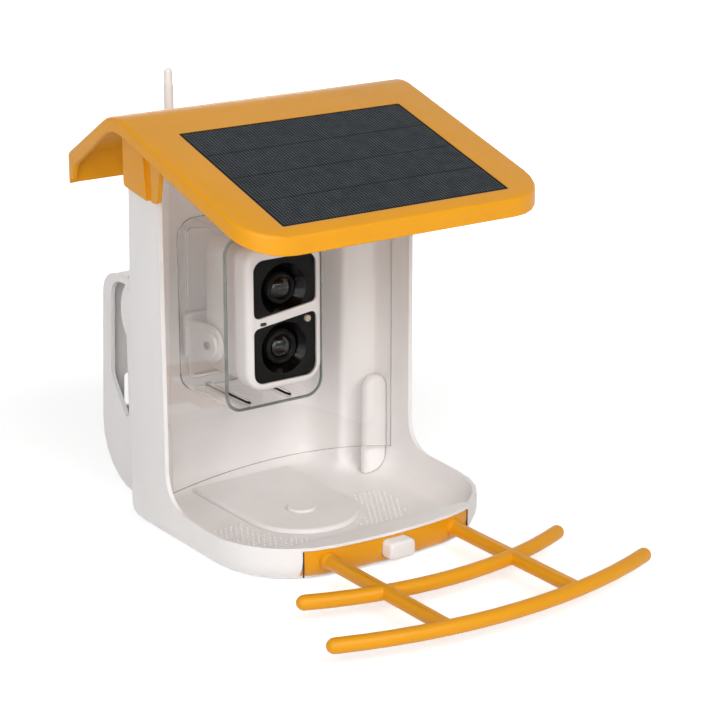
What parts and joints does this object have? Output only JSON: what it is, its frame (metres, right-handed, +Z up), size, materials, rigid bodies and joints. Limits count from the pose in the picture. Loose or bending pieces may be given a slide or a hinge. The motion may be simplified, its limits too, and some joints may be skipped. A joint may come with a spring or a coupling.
{
  "type": "smart bird feeder",
  "caption": "Bird feeder with a lifting solar roof, clear seed hopper, tilting camera in a bay, antenna, seed tray and a pull-out double-rail perch.",
  "frame": {"origin": "middle of the width on the flat underside, under the tray behind its drain holes", "axes": "+X to the right side seen from the front, +Y to the back, +Z up; the perch points to -Y"},
  "size_m": [0.263, 0.398, 0.3106],
  "materials": {
    "white_plastic": "satin",
    "orange_plastic": "satin",
    "clear_plastic": "clear, polished",
    "solar_cells": "dark cells under a clear sheet",
    "dark_window": "polished, nearly opaque",
    "black_plastic": "fine satin",
    "lens_glass": "coated",
    "steel": "plain",
    "circuit_board": "solder resist",
    "cell_wrap": "shrink wrap",
    "amber_plastic": "translucent",
    "rubber": "matte"
  },
  "bodies": {
    "feeder": {"housing": "white_plastic", "hopper_panel": "clear_plastic", "camera_bay": "clear_plastic", "seed_platform": "white_plastic", "floor_cap": "white_plastic", "seed_guide_left": "white_plastic", "seed_guide_right": "white_plastic", "camera_yoke": "white_plastic", "pivot_disc_left": "white_plastic", "pivot_disc_right": "white_plastic", "pivot_screw_left": "steel", "pivot_screw_right": "steel", "rear_cap": "white_plastic", "cap_seal": "rubber", "antenna_base": "white_plastic", "rear_cradle": "white_plastic", "clamp_knob_left": "white_plastic", "clamp_knob_right": "white_plastic", "hinge_pin_left": "steel", "hinge_pin_right": "steel"},
    "roof": {"roof": "orange_plastic", "solar_panel": "solar_cells", "junction_box": "black_plastic", "roof_cheek_left": "orange_plastic", "roof_cheek_right": "orange_plastic"},
    "camera": {"camera_front_shell": "white_plastic", "camera_rear_shell": "white_plastic", "window_upper": "dark_window", "window_lower": "dark_window", "optics_block": "black_plastic", "lens_barrel_upper": "black_plastic", "lens_barrel_lower": "black_plastic", "lens_upper": "lens_glass", "lens_lower": "lens_glass", "light_sensor": "amber_plastic", "mic_grommet": "rubber", "main_board": "circuit_board", "battery_cell_left": "cell_wrap", "battery_cell_right": "cell_wrap", "loudspeaker": "black_plastic"},
    "elbow": {"antenna_elbow": "white_plastic", "antenna_pin": "steel"},
    "antenna": {"antenna_rod": "white_plastic"},
    "perch": {"perch": "orange_plastic", "button_spring": "steel"},
    "button": {"release_button": "white_plastic"}
  },
  "joints": [
    {"name": "roof_lift", "type": "hinge", "parent": "feeder", "child": "roof", "pos_m": [0, 0.113, 0.2485], "axis": [-1, 0, 0], "range_deg": [0, 50]},
    {"name": "camera_tilt", "type": "hinge", "parent": "feeder", "child": "camera", "pos_m": [0, 0.076, 0.1205], "axis": [1, 0, 0], "range_deg": [-4, 4]},
    {"name": "antenna_swivel", "type": "hinge", "parent": "feeder", "child": "elbow", "pos_m": [-0.0277, 0.139, 0.1895], "axis": [0, 1, 0], "range_deg": [-90, 90]},
    {"name": "antenna_tilt", "type": "hinge", "parent": "elbow", "child": "antenna", "pos_m": [-0.0277, 0.139, 0.1895], "axis": [-1, 0, 0], "range_deg": [0, 90]},
    {"name": "perch_slide", "type": "slide", "parent": "feeder", "child": "perch", "axis": [0, -1, 0], "range_m": [0, 0.04]},
    {"name": "button_press", "type": "slide", "parent": "perch", "child": "button", "axis": [0, 1, 0], "range_m": [0, 0.003], "stiffness_N_per_m": 300, "springref_m": -0.002, "deforming": ["button_spring"]}
  ]
}
